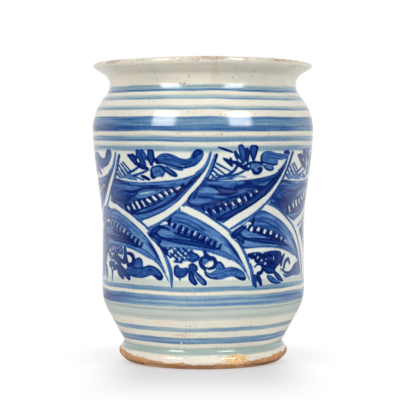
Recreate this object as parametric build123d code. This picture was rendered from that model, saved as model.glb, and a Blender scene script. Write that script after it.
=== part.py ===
from build123d import *
import math
import os

# Albarello: a wheel-thrown drug jar of tin-glazed earthenware, in millimetres.
# The frame's origin is the centre of the foot on the table, with +Z up along the jar's axis.
# Every outline below is the finished surface; the clay lies one glaze thickness behind it.

# Heights of the foot and the lower body, from the table
flange_low_height = 5.5
flange_height = 8.8
ankle_height = 14.8
hip_height = 49.0
waist_height = 117.0

# The whole height, and the lengths from the top down to the shoulder
height = 240.0
lip_edge = 3.7
flare_length = 9.0
neck_length = 10.3
shoulder_slope = 21.5
upper_body = 27.5
lip_edge_height = height - lip_edge
neck_high_height = lip_edge_height - flare_length
neck_low_height = neck_high_height - neck_length
shoulder_height = neck_low_height - shoulder_slope
shoulder_low_height = shoulder_height - upper_body

# Outside radii at those heights
foot_radius = 63.5
flange_radius = 68.3
ankle_radius = 63.7
hip_radius = 82.2
waist_radius = 81.5
shoulder_low_radius = 88.5
shoulder_radius = 89.9
neck_radius = 75.5
lip_radius = 88.6

# How round the potter's rib left each turn of the outside
foot_edge_round = 1.2
flange_low_round = 3.0
flange_round = 2.5
ankle_round = 3.0
hip_round = 36.0
waist_round = 220.0
shoulder_low_round = 300.0
shoulder_round = 34.0
neck_round = 10.0
flare_round = 9.0
lip_under_round = 2.2
lip_top_round = 2.4

# Thickness of the thrown wall, thick at the foot and thin at the neck
wall = 6.0
lower_wall = 7.0
neck_wall = 5.5
lip_width = 5.0
floor_height = 9.0

# How round the inside is
floor_round = 9.0
inner_shoulder_round = 30.0
throat_low_round = 6.0
throat_high_round = 7.0
lip_inner_round = 1.5

# The turned foot: a shallow recess leaves a ring that stands on the table
recess_radius = 48.0
recess_depth = 2.5
recess_round = 1.5

# The glaze coats and the ragged line where the outer one stops above the foot
glaze = 0.5
glaze_line = 4.0
bite_count = 9
bite_radius = 30.0
bite_height = 2.2
bite_rise = 1.6

# The glaze is cut back by tools that reach this far past it
reach = 10.0

# A round takes no more than this share of the shorter run beside it
run_share = 0.495


def sloped_offset(thickness, start, end):
    """How far a sloping wall's inside lies from its outside, measured along the radius."""
    run = end[1] - start[1]
    rise = abs(end[0] - start[0])
    return thickness * math.hypot(run, rise) / run


def along(start, end, radius):
    """The height at which the line from start to end has this radius."""
    share = (radius - start[0]) / (end[0] - start[0])
    return start[1] + share * (end[1] - start[1])


def fitting_round(before, corner, after, wanted):
    """The wanted round, or the largest that leaves each of its two runs room for the next."""
    into = Vector(*corner) - Vector(*before)
    out_of = Vector(*after) - Vector(*corner)
    half_turn = math.radians(into.get_angle(out_of)) / 2
    room = run_share * min(into.length, out_of.length)
    return min(wanted, room / math.tan(half_turn))


def rounded_outline(corners, closing):
    """A face in the XZ plane: corners are (radius, height, round), closed by plain points."""
    points = [(r, z) for r, z, _ in corners]
    rounds = []
    for number in range(1, len(points) - 1):
        before, corner, after = points[number - 1 : number + 2]
        rounds.append(fitting_round(before, corner, after, corners[number][2]))
    with BuildSketch(Plane.XZ) as outline:
        with BuildLine():
            FilletPolyline(*points, radius=rounds)
            Polyline(points[-1], *closing, points[0])
        make_face()
    return outline.sketch


def outside_outline():
    """The whole outside, filled to past the axis, with the foot drawn one glaze too low."""
    corners = [
        (foot_radius - reach, -glaze, 0),
        (foot_radius, -glaze, foot_edge_round),
        (flange_radius, flange_low_height, flange_low_round),
        (flange_radius, flange_height, flange_round),
        (ankle_radius, ankle_height, ankle_round),
        (hip_radius, hip_height, hip_round),
        (waist_radius, waist_height, waist_round),
        (shoulder_low_radius, shoulder_low_height, shoulder_low_round),
        (shoulder_radius, shoulder_height, shoulder_round),
        (neck_radius, neck_low_height, neck_round),
        (neck_radius, neck_high_height, flare_round),
        (lip_radius, lip_edge_height, lip_under_round),
        (lip_radius, height, lip_top_round),
        (lip_radius - lip_width, height, 0),
    ]
    return rounded_outline(corners, [(-reach, height), (-reach, -glaze)])


def inside_outline():
    """The hollow, filled to past the axis, and carried up through the mouth."""
    ankle = (ankle_radius, ankle_height)
    hip = (hip_radius, hip_height)
    shoulder = (shoulder_radius, shoulder_height)
    neck = (neck_radius, neck_low_height)
    lower_inset = sloped_offset(lower_wall, ankle, hip)
    shoulder_inset = sloped_offset(wall, shoulder, neck)
    foot_inner = (ankle[0] - lower_inset, ankle[1])
    hip_inner = (hip[0] - lower_inset, hip[1])
    shoulder_inner = (shoulder[0] - shoulder_inset, shoulder[1])
    neck_inner = (neck[0] - shoulder_inset, neck[1])

    inner_hip = hip_radius - wall
    inner_shoulder = shoulder_radius - wall
    throat = neck_radius - neck_wall
    slope = (hip_inner[0] - foot_inner[0]) / (hip_inner[1] - foot_inner[1])
    floor_radius = foot_inner[0] - slope * (foot_inner[1] - floor_height)
    corners = [
        (-reach, floor_height, 0),
        (floor_radius, floor_height, floor_round),
        (inner_hip, along(foot_inner, hip_inner, inner_hip), hip_round),
        (waist_radius - wall, waist_height, waist_round),
        (shoulder_low_radius - wall, shoulder_low_height, shoulder_low_round),
        (inner_shoulder, along(shoulder_inner, neck_inner, inner_shoulder), inner_shoulder_round),
        (throat, along(shoulder_inner, neck_inner, throat), throat_low_round),
        (throat, neck_high_height, throat_high_round),
        (lip_radius - lip_width, height, lip_inner_round),
        (lip_radius - lip_top_round - 2 * glaze, height, 0),
    ]
    top = height + reach
    return rounded_outline(corners, [(corners[-1][0], top), (-reach, top)])


def right_of_axis():
    """The half of the drawing plane that is turned round the axis."""
    width = 2 * shoulder_radius
    tall = 2 * height
    return Plane.XZ * Pos(width / 2, height / 2) * Rectangle(width, tall)


def turned(section):
    """A solid thrown from the part of a section that lies to the right of the axis."""
    return revolve(section & right_of_axis(), Axis.Z, 360)


def below_glaze_line():
    """The ring round the foot that the glaze was wiped from, with bites that rise into it."""
    outer = flange_radius + reach
    inner = foot_radius - reach
    ring = Cylinder(outer, glaze_line + reach, align=(Align.CENTER, Align.CENTER, Align.MAX))
    ring = Pos(0, 0, glaze_line) * ring
    for number in range(bite_count):
        turn = 360 * number / bite_count + 7 * math.sin(2.3 * number)
        top = glaze_line + bite_height + bite_rise * math.sin(1.7 * number)
        bite = Rot(0, 90, 0) * Cylinder(bite_radius, outer - inner)
        ring += Rot(0, 0, turn) * Pos((inner + outer) / 2, 0, top - bite_radius) * bite
    return ring


def foot_recess():
    """The shallow hollow turned into the underside, with a round edge."""
    low = -reach
    disc = Cylinder(recess_radius, recess_depth - low, align=(Align.CENTER, Align.CENTER, Align.MAX))
    disc = Pos(0, 0, recess_depth) * disc
    return fillet(disc.edges().sort_by(Axis.Z)[-1], recess_round)


outside = outside_outline()
inside = inside_outline()
clay_outside = offset(outside, -glaze)
clay_inside = offset(inside, glaze)

# Three pieces: the fired clay, the glaze poured over the outside, and the glaze swilled inside
thrown_body = turned(clay_outside - clay_inside) - foot_recess()
outer_glaze = turned(outside - clay_outside - clay_inside) - below_glaze_line()
inner_glaze = turned((clay_inside - inside) & outside)

os.makedirs("parts", exist_ok=True)
pieces = {
    "thrown_body": thrown_body,
    "outer_tin_glaze": outer_glaze,
    "inner_glaze": inner_glaze,
}
for name, piece in pieces.items():
    piece.label = name
    export_step(piece, f"parts/{name}.step")
    print(name, len(piece.solids()), "solid", round(piece.volume / 1000, 1), "cm3")
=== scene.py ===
import math

import bpy
import numpy as np
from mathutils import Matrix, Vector
from mathutils.bvhtree import BVHTree


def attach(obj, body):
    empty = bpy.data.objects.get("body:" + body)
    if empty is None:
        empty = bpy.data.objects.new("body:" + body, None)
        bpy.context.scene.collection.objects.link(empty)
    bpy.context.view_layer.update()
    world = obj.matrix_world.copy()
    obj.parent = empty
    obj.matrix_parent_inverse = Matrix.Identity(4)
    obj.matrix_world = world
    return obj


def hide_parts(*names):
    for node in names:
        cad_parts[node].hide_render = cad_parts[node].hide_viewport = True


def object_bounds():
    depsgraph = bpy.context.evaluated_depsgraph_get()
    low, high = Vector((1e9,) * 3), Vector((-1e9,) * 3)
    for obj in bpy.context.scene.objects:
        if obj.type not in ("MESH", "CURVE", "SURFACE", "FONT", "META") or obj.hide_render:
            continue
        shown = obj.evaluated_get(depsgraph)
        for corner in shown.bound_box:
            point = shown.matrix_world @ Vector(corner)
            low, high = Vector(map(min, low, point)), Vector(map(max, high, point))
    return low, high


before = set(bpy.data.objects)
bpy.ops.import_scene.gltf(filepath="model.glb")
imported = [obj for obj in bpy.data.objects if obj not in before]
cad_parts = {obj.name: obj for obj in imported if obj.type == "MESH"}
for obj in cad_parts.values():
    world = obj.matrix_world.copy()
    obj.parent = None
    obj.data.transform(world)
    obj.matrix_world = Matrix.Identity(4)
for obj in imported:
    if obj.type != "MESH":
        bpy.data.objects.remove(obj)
cad_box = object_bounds()

# Viewpoint and light: the jar is seen from 1.24 m away, level with its shoulder, between
# two tall soft boxes whose shapes show on the shoulder, in a room that is white behind it.
# Distances are in metres, angles in degrees.
MM = 0.001
jar_low, jar_high = cad_box
jar_height = jar_high.z

camera_data = bpy.data.cameras.new("camera")
camera_data.lens = 136.9
camera = bpy.data.objects.new("camera", camera_data)
camera.location = (-2.4 * MM, -1236 * MM, 184.2 * MM)
camera.rotation_euler = (math.radians(90 - 2.57), 0, 0)
bpy.context.collection.objects.link(camera)
bpy.context.scene.camera = camera
bpy.context.scene.view_settings.view_transform = "Standard"


class Shade:
    """A node's output that takes part in sums: each operator adds one Math node."""

    def __init__(self, finish, socket):
        self.finish = finish
        self.socket = socket

    def math(self, operation, *others):
        return self.finish.node("ShaderNodeMath", {"operation": operation}, [self, *others])

    def reversed_math(self, operation, other):
        return self.finish.node("ShaderNodeMath", {"operation": operation}, [other, self])

    def __add__(self, other):
        return self.math("ADD", other)

    def __sub__(self, other):
        return self.math("SUBTRACT", other)

    def __mul__(self, other):
        return self.math("MULTIPLY", other)

    def __truediv__(self, other):
        return self.math("DIVIDE", other)

    def __rsub__(self, other):
        return self.reversed_math("SUBTRACT", other)

    def __pow__(self, other):
        return self.math("POWER", other)

    __radd__ = __add__
    __rmul__ = __mul__

    def larger(self, other):
        return self.math("MAXIMUM", other)

    def smaller(self, other):
        return self.math("MINIMUM", other)

    def past(self, low, high):
        """0 below low, 1 above high, and smooth between."""
        settings = {"interpolation_type": "SMOOTHSTEP"}
        inputs = {"Value": self, "From Min": low, "From Max": high}
        return self.finish.node("ShaderNodeMapRange", settings, inputs)

    def between(self, low, high, soft):
        """1 from low to high, and 0 outside, with soft edges."""
        rising = self.past(low - soft, low + soft)
        return rising * (1 - self.past(high - soft, high + soft))


class Finish:
    """One material's nodes, with its own method for adding any node."""

    def __init__(self, material):
        material.use_nodes = True
        self.tree = material.node_tree
        self.tree.nodes.clear()

    def node(self, kind, settings={}, inputs={}, output=0):
        """Adds a node: its settings first, then each socket's value or link, by name or number."""
        made = self.tree.nodes.new(kind)
        for name, value in settings.items():
            if name == "stops":
                self.set_stops(made.color_ramp, value)
            else:
                setattr(made, name, value)
        pairs = inputs.items() if isinstance(inputs, dict) else enumerate(inputs)
        for name, value in pairs:
            if isinstance(value, Shade):
                self.tree.links.new(value.socket, made.inputs[name])
            else:
                made.inputs[name].default_value = value
        return Shade(self, made.outputs[output]) if made.outputs else None

    def set_stops(self, ramp, stops):
        """Gives a colour ramp its stops: a place from 0 to 1, and a colour."""
        while len(ramp.elements) < len(stops):
            ramp.elements.new(1)
        for element, (place, colour) in zip(ramp.elements, stops):
            element.position = place
            element.color = colour

    def position(self):
        """Where the surface is, in millimetres: along X, Y and Z."""
        place = self.node("ShaderNodeTexCoord", output=3)
        parts = [self.node("ShaderNodeSeparateXYZ", {}, [place], axis) for axis in range(3)]
        return [part * 1000 for part in parts]

    def noise(self, cells, detail=3, roughness=0.5, warp=0.0, seed=0.0):
        """Cloudy noise about 0.5: cells is how many millimetres one cell is along X, Y and Z."""
        place = self.node("ShaderNodeTexCoord", output=3)
        scale = tuple(1000 / cell for cell in cells)
        mapping = {"Vector": place, "Scale": scale, "Location": (seed, seed * 1.7, seed * 0.6)}
        moved = self.node("ShaderNodeMapping", {}, mapping)
        inputs = {"Vector": moved, "Detail": detail, "Roughness": roughness, "Distortion": warp, "Scale": 1.0}
        return self.node("ShaderNodeTexNoise", {}, inputs)

    def blend(self, amount, first, second, how="MIX"):
        """Mixes two colours: all first where amount is 0, all second where it is 1."""
        settings = {"data_type": "RGBA", "blend_type": how}
        inputs = {0: amount, 6: first, 7: second}
        return self.node("ShaderNodeMix", settings, inputs, output=2)

    def ramp(self, value, stops):
        """A colour that runs through the stops as value goes from 0 to 1."""
        return self.node("ShaderNodeValToRGB", {"stops": stops}, [value])

    def surface(self, shader):
        self.node("ShaderNodeOutputMaterial", {}, {"Surface": shader})


def colour(red, green, blue):
    """A linear colour from the 0 to 255 values that a screen shows."""
    levels = [level / 255 for level in (red, green, blue)]
    linear = [x / 12.92 if x <= 0.04045 else ((x + 0.055) / 1.055) ** 2.4 for x in levels]
    return (*linear, 1.0)


def soft_box(name, azimuth, elevation, distance, width, height, power):
    """A rectangular lamp that faces the jar, azimuth degrees round from the front."""
    aim = Vector((0, 0, 0.75 * jar_height))
    turn = math.radians(azimuth)
    rise = math.radians(elevation)
    away = Vector((math.sin(turn) * math.cos(rise), -math.cos(turn) * math.cos(rise), math.sin(rise)))
    lamp = bpy.data.lights.new(name, "AREA")
    lamp.shape = "RECTANGLE"
    lamp.size = width
    lamp.size_y = height
    lamp.energy = power
    box = bpy.data.objects.new(name, lamp)
    box.location = aim + away * distance
    box.rotation_euler = away.to_track_quat("Z", "Y").to_euler()
    bpy.context.collection.objects.link(box)


soft_box("left_box", azimuth=-41, elevation=22, distance=1.3, width=0.52, height=0.64, power=9.7)
soft_box("right_box", azimuth=37, elevation=22, distance=1.3, width=0.52, height=0.64, power=9.7)
soft_box("top_box", azimuth=0, elevation=80, distance=1.2, width=1.2, height=1.2, power=2.5)

room = bpy.data.worlds.new("room")
bpy.context.scene.world = room
room_finish = Finish(room)
direction = room_finish.node("ShaderNodeTexCoord", output=0)
behind = room_finish.node("ShaderNodeSeparateXYZ", {}, [direction], 1)
sees_camera = room_finish.node("ShaderNodeLightPath", output=0)
sees_gloss = room_finish.node("ShaderNodeLightPath", output=3)
plain_light = 0.16 + 0.45 * behind.past(-0.3, 0.6)
gloss_light = 0.05 + 0.85 * behind.past(-0.1, 0.6)
wall_light = plain_light * (1 - sees_gloss) + gloss_light * sees_gloss
room_light = wall_light.larger(sees_camera)
backdrop = room_finish.node("ShaderNodeBackground", {}, {"Color": (1, 1, 1, 1), "Strength": room_light})
room_finish.node("ShaderNodeOutputWorld", {}, {"Surface": backdrop})

# Floor: a white table top under the jar that fades into the white room, so no horizon shows.
# Near the foot and in front of the jar, camera rays see a darker grey floor: a painted shadow
# and reflection laid over the real soft shadow.
floor_radius = 0.42
bpy.ops.mesh.primitive_circle_add(vertices=128, radius=floor_radius, fill_type="NGON")
floor = bpy.context.object
floor.name = "floor"
white_top = bpy.data.materials.new("white_top")
top_finish = Finish(white_top)
top_x, top_y, top_z = top_finish.position()
from_jar = (top_x * top_x + top_y * top_y) ** 0.5
camera_ray = top_finish.node("ShaderNodeLightPath", output=0)
aside = (top_x * top_x) ** 0.5
# Painted shadow and reflection: the patch in front of the jar, and the ring round its foot, where camera rays see the
# darker grey floor.
painted_shadow_front = (1 - aside.past(40, 96)) * (1 - (0 - top_y).past(60, 230)) * (0 - top_y).past(-40, 40)
near_jar = 0.22 * (1 - from_jar.past(66, 120))
fade = (1 - (0.75 * painted_shadow_front).larger(near_jar)) * camera_ray
bright_top = top_finish.node("ShaderNodeBsdfDiffuse", {}, {"Color": colour(243, 242, 243)})
# Painted shade: camera rays see this darker grey, while other rays meet the brighter floor.
painted_shade_top = top_finish.node("ShaderNodeBsdfDiffuse", {}, {"Color": colour(212, 211, 213)})
matt_top = top_finish.node("ShaderNodeMixShader", {}, [camera_ray, bright_top, painted_shade_top])
white_light = top_finish.node("ShaderNodeEmission", {}, {"Strength": 1.0})
top_finish.surface(top_finish.node("ShaderNodeMixShader", {}, [fade, matt_top, white_light]))
floor.data.materials.append(white_top)

# Thrown body: red-buff earthenware, thrown on the wheel in one piece with its foot ring turned
# afterwards. Only its foot, its underside and the worn lip show through the glaze.
columns = 144
glaze_thickness = 0.5 * MM


def walls_of(node):
    """A CAD node's surface, ready to be probed."""
    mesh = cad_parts[node].data
    corners = [vert.co for vert in mesh.vertices]
    return BVHTree.FromPolygons(corners, [tuple(face.vertices) for face in mesh.polygons])


walls = {node: walls_of(node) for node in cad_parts}


def wall_radius(node, height, from_axis=False):
    """The radius of a turned CAD node's wall at a height, on its outside or as seen from the axis."""
    start = Vector((0 if from_axis else 2 * jar_high.x, 0, height))
    heading = Vector((1 if from_axis else -1, 0, 0))
    place, normal, face, distance = walls[node].ray_cast(start, heading)
    return place.x


def levels(*runs):
    """Heights in metres: each run is (from, to, how many), in millimetres, without its end."""
    return np.concatenate([np.linspace(low, high, count, endpoint=False) for low, high, count in runs]) * MM


def hand(points):
    """Moves points of the jar as a potter's hands leave it: not quite round, with throwing rings."""
    x, y, z = points.T
    turn = np.arctan2(x, -y)
    radius = np.hypot(x, y)
    tall = z / jar_height
    oval = 0.35 * np.sin(2 * turn + 0.8) * tall + 0.22 * np.sin(3 * turn + 2.1 + 4 * tall)
    rings = 0.05 * np.sin(2 * np.pi * z / (9.5 * MM) + 0.9 * np.sin(turn + 0.5) + 3 * tall)
    rings += 0.02 * np.sin(2 * np.pi * z / (4.1 * MM) + 1.3 * np.sin(2 * turn) + turn)
    grip = np.clip(radius / (40 * MM), 0, 1) * np.clip(z / (6 * MM), 0, 1)
    shoulder = 1.1 * np.exp(-(((z / MM - 208) / 9) ** 2))
    radius_moved = radius + (oval + rings + shoulder) * MM * grip
    lip = np.clip((z - 222 * MM) / (18 * MM), 0, 1) ** 2
    wave = 0.05 + 0.15 * np.cos(turn) + 0.9 * np.cos(2 * turn) + 0.14 * np.sin(3 * turn + 0.4)
    wave += 0.12 * np.sin(7 * turn + 1.9) + 0.07 * np.sin(13 * turn + 0.7)
    z_moved = z + wave * MM * lip
    scale = radius_moved / np.maximum(radius, 0.001 * MM)
    return np.stack([x * scale, y * scale, z_moved], 1)


def turned_piece(name, outline, closed):
    """A piece spun round the axis from an outline of (radius, height), with its poles closed."""
    mesh = bpy.data.meshes.new(name)
    count = len(outline)
    edges = [(number, number + 1) for number in range(count - 1)]
    if closed:
        edges.append((count - 1, 0))
    mesh.from_pydata([(radius, 0, height) for radius, height in outline], edges, [])
    piece = bpy.data.objects.new(name, mesh)
    bpy.context.collection.objects.link(piece)
    bpy.ops.object.select_all(action="DESELECT")
    piece.select_set(True)
    bpy.context.view_layer.objects.active = piece
    bpy.ops.object.mode_set(mode="EDIT")
    bpy.ops.mesh.select_all(action="SELECT")
    bpy.ops.mesh.spin(steps=columns, angle=2 * math.pi, center=(0, 0, 0), axis=(0, 0, 1))
    bpy.ops.mesh.select_all(action="SELECT")
    bpy.ops.mesh.remove_doubles(threshold=0.01 * MM)
    bpy.ops.mesh.normals_make_consistent(inside=False)
    bpy.ops.object.mode_set(mode="OBJECT")
    return piece


def points_of(piece):
    """The piece's vertices as an array."""
    places = np.empty(3 * len(piece.data.vertices), np.float32)
    piece.data.vertices.foreach_get("co", places)
    return places.reshape(-1, 3).astype(float)


def place_points(piece, points):
    piece.data.vertices.foreach_set("co", points.astype(np.float32).ravel())
    piece.data.update()


def finish_piece(piece, node, material):
    """Smooths a piece, gives it its material, and lets it stand for its CAD node."""
    piece.data.materials.append(material)
    piece.data.shade_smooth()
    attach(piece, "root")
    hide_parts(node)


clay_outside = levels((1.0, 16, 16), (16, 56, 12), (56, 190, 40), (190, 236, 18), (236, 239.4, 4))
clay_inside = levels((239.4, 236, 4), (236, 190, 16), (190, 52, 20), (52, 12, 12), (12, 8.6, 5))
foot_edge = [(r * MM, z * MM) for r, z in ((49.0, 0.0), (62.6, 0.0), (63.1, 0.3))]
recess = [(r * MM, z * MM) for r, z in ((0.0, 2.5), (20, 2.5), (40, 2.5), (45.5, 2.5), (47.3, 1.9), (48.2, 0.8))]
clay_outline = [
    *recess,
    *foot_edge,
    *[(wall_radius("thrown_body", z), z) for z in clay_outside],
    *[(wall_radius("thrown_body", z, from_axis=True), z) for z in clay_inside],
    (40 * MM, 8.5 * MM),
    (20 * MM, 8.5 * MM),
    (0.0, 8.5 * MM),
]
body = turned_piece("thrown_earthenware", clay_outline, closed=False)
place_points(body, hand(points_of(body)))

fired_clay = bpy.data.materials.new("fired_clay")
clay = Finish(fired_clay)
speckle = clay.noise((1.6, 1.6, 1.6), detail=4, roughness=0.7, seed=3)
cloud = clay.noise((22, 22, 14), detail=3, seed=5)
soot = clay.noise((9, 9, 3), detail=3, seed=8).past(0.56, 0.74)
clay_colour = clay.ramp(
    cloud * 0.7 + speckle * 0.3,
    [(0.30, colour(144, 98, 64)), (0.5, colour(182, 134, 94)), (0.68, colour(210, 170, 128))],
)
clay_colour = clay.blend(soot * 0.55, clay_colour, colour(98, 70, 50))
grit = clay.node("ShaderNodeBump", {}, {"Strength": 0.5, "Distance": 0.4 * MM, "Height": speckle})
clay.surface(
    clay.node("ShaderNodeBsdfPrincipled", {}, {"Base Color": clay_colour, "Roughness": 0.85, "Normal": grit})
)
finish_piece(body, "thrown_body", fired_clay)

# Lining: the tin glaze swilled round the inside and poured out again, thin on the throwing
# rings and thick in the corner of the floor.
lining_back = levels((8.7, 12, 5), (12, 52, 10), (52, 190, 16), (190, 236, 16), (236, 239.4, 4))
lining_front = levels((239.8, 236, 5), (236, 190, 20), (190, 52, 24), (52, 12, 14), (12, 9.1, 6))
lining_outline = [
    (0.0, 8.5 * MM),
    (20 * MM, 8.5 * MM),
    (40 * MM, 8.5 * MM),
    *[(wall_radius("thrown_body", z, from_axis=True), z) for z in lining_back],
    (84.2 * MM, 239.5 * MM),
    (85.7 * MM, 239.5 * MM),
    (85.7 * MM, 240 * MM),
    (84.6 * MM, 240 * MM),
    *[(wall_radius("inner_glaze", z, from_axis=True), z) for z in lining_front],
    (46 * MM, 9 * MM),
    (30 * MM, 9 * MM),
    (15 * MM, 9 * MM),
    (0.0, 9 * MM),
]
lining = turned_piece("lining_glaze_coat", lining_outline, closed=False)
place_points(lining, hand(points_of(lining)))


def glaze_ground(finish):
    """The bare tin glaze: a warm white with a pinkish and a greyish cloud, pores and dark specks."""
    pink = finish.noise((26, 26, 20), detail=3, seed=2).past(0.40, 0.70)
    grey = finish.noise((40, 40, 16), detail=4, seed=6).past(0.42, 0.72)
    pores = finish.noise((1.7, 1.7, 1.7), detail=3, seed=4).past(0.52, 0.76)
    specks = finish.noise((2.4, 2.4, 2.4), detail=1, seed=9).past(0.725, 0.765)
    ground = finish.blend(pink * 0.6, colour(226, 221, 204), colour(228, 213, 195))
    ground = finish.blend(grey * 0.5, ground, colour(202, 203, 194))
    ground = finish.blend(pores * 0.42, ground, colour(192, 174, 152))
    return finish.blend(specks * 0.8, ground, colour(112, 84, 62))


def glazed(finish, paint, height, dull):
    """A glossy glaze surface of that colour, with its relief, and matt where dull is 1."""
    relief = finish.node("ShaderNodeBump", {}, {"Strength": 0.25, "Distance": 0.3 * MM, "Height": height})
    gloss = finish.noise((12, 12, 12), detail=3, seed=7) * 0.12 + 0.05
    inputs = {"Base Color": paint, "Roughness": gloss + dull * 0.75, "IOR": 1.62, "Normal": relief}
    finish.surface(finish.node("ShaderNodeBsdfPrincipled", {}, inputs))


lining_glaze = bpy.data.materials.new("lining_glaze")
swilled = Finish(lining_glaze)
swirl = swilled.noise((14, 14, 3), detail=3, seed=11)
worn_lip = swilled.noise((9, 9, 9), detail=3, seed=31).past(0.52, 0.66) * swilled.position()[2].past(236, 239)
glazed(swilled, swilled.blend(worn_lip, glaze_ground(swilled), colour(186, 146, 112)), swirl, worn_lip * 0.5)
finish_piece(lining, "inner_glaze", lining_glaze)

# Outer coat: opaque white tin glaze, dipped to just above the foot, and painted with cobalt
# blue on the raw glaze, so the colour has sunk in and run a little in the firing.
band_low = 64
band_high = 182
outer_levels = levels(
    (2.6, 12, 10), (12, 20, 8), (20, band_low, 13), (band_low, band_high, 34), (band_high, 214, 11),
    (214, 228, 9), (228, 236, 7), (236, 239.9, 7),
)
back_levels = levels(
    (239.3, 236, 3), (236, 226, 6), (226, 214, 7), (214, 196, 4), (196, 22, 30), (22, 12, 6), (12, 2.6, 5),
)


def coat_radius(height):
    """The outer coat's outside, carried on down over the clay below the line where it stops."""
    found = wall_radius("thrown_body", height) + glaze_thickness
    if height > 12 * MM:
        found = wall_radius("outer_tin_glaze", height)
    return found


coat_outline = [
    *[(coat_radius(z), z) for z in outer_levels],
    (86.2 * MM, 240 * MM),
    (85.7 * MM, 240 * MM),
    (85.7 * MM, 239.5 * MM),
    *[(wall_radius("thrown_body", z), z) for z in back_levels],
]
coat = turned_piece("painted_tin_glaze_coat", coat_outline, closed=True)


def select_band(mesh, low, high, tallest):
    """Selects the faces of the painted band, which are shorter than those of the coat's back."""
    heights = np.array([vert.co.z for vert in mesh.vertices])
    for face in mesh.polygons:
        ups = heights[list(face.vertices)]
        face.select = bool(ups.min() > low and ups.max() < high and np.ptp(ups) < tallest)


bpy.context.view_layer.objects.active = coat
bpy.ops.object.mode_set(mode="EDIT")
bpy.ops.mesh.select_mode(type="FACE")
bpy.ops.mesh.select_all(action="DESELECT")
bpy.ops.object.mode_set(mode="OBJECT")
select_band(coat.data, (band_low - 0.1) * MM, (band_high + 0.1) * MM, 5 * MM)
bpy.ops.object.mode_set(mode="EDIT")
bpy.ops.mesh.subdivide(number_cuts=3)
bpy.ops.object.mode_set(mode="OBJECT")
coat_points = points_of(coat)
outer_radii = np.array([coat_radius(z) for z in outer_levels])
coat_spread = np.hypot(coat_points[:, 0], coat_points[:, 1])
skin = np.interp(coat_points[:, 2], outer_levels, outer_radii)
fine = (coat_spread > skin - 0.3 * MM) & (coat_points[:, 2] > band_low * MM) & (coat_points[:, 2] < band_high * MM)
coat_points[fine, :2] *= (skin[fine] / coat_spread[fine])[:, None]

# The painting is laid out flat: points are (round, up) in millimetres, round the jar from its
# front at painting_radius, and up from the table. Shapes are kept as distances to their edges,
# so that the glaze material can draw each edge sharp.
painting_radius = 82.0
girth = 2 * math.pi * painting_radius
far_off = -3.0
grain_table = np.random.default_rng(7).random((64, 64))


def smooth_line(points, steps=6):
    """A smooth line through the points: any columns beside round and up run along with them."""
    rows = np.array(points, float)
    padded = np.vstack([2 * rows[0] - rows[1], rows, 2 * rows[-1] - rows[-2]])
    share = np.linspace(0, 1, steps, endpoint=False)[:, None]
    runs = []
    for before, start, end, beyond in zip(padded, padded[1:], padded[2:], padded[3:]):
        bend = 2 * before - 5 * start + 4 * end - beyond
        twist = 3 * (start - end) + beyond - before
        runs.append(start + 0.5 * share * (end - before + share * (bend + share * twist)))
    return np.vstack([*runs, rows[-1]])


def grain(along, across):
    """Smooth random values from 0 to 1, one cell to each unit."""
    low_along, low_across = np.floor(along).astype(int), np.floor(across).astype(int)
    part_along, part_across = along - low_along, across - low_across
    part_along = part_along * part_along * (3 - 2 * part_along)
    part_across = part_across * part_across * (3 - 2 * part_across)
    corner = [grain_table[(low_along + i) % 64, (low_across + j) % 64] for i in (0, 1) for j in (0, 1)]
    near = corner[0] + (corner[1] - corner[0]) * part_across
    far = corner[2] + (corner[3] - corner[2]) * part_across
    return near + (far - near) * part_along


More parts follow.
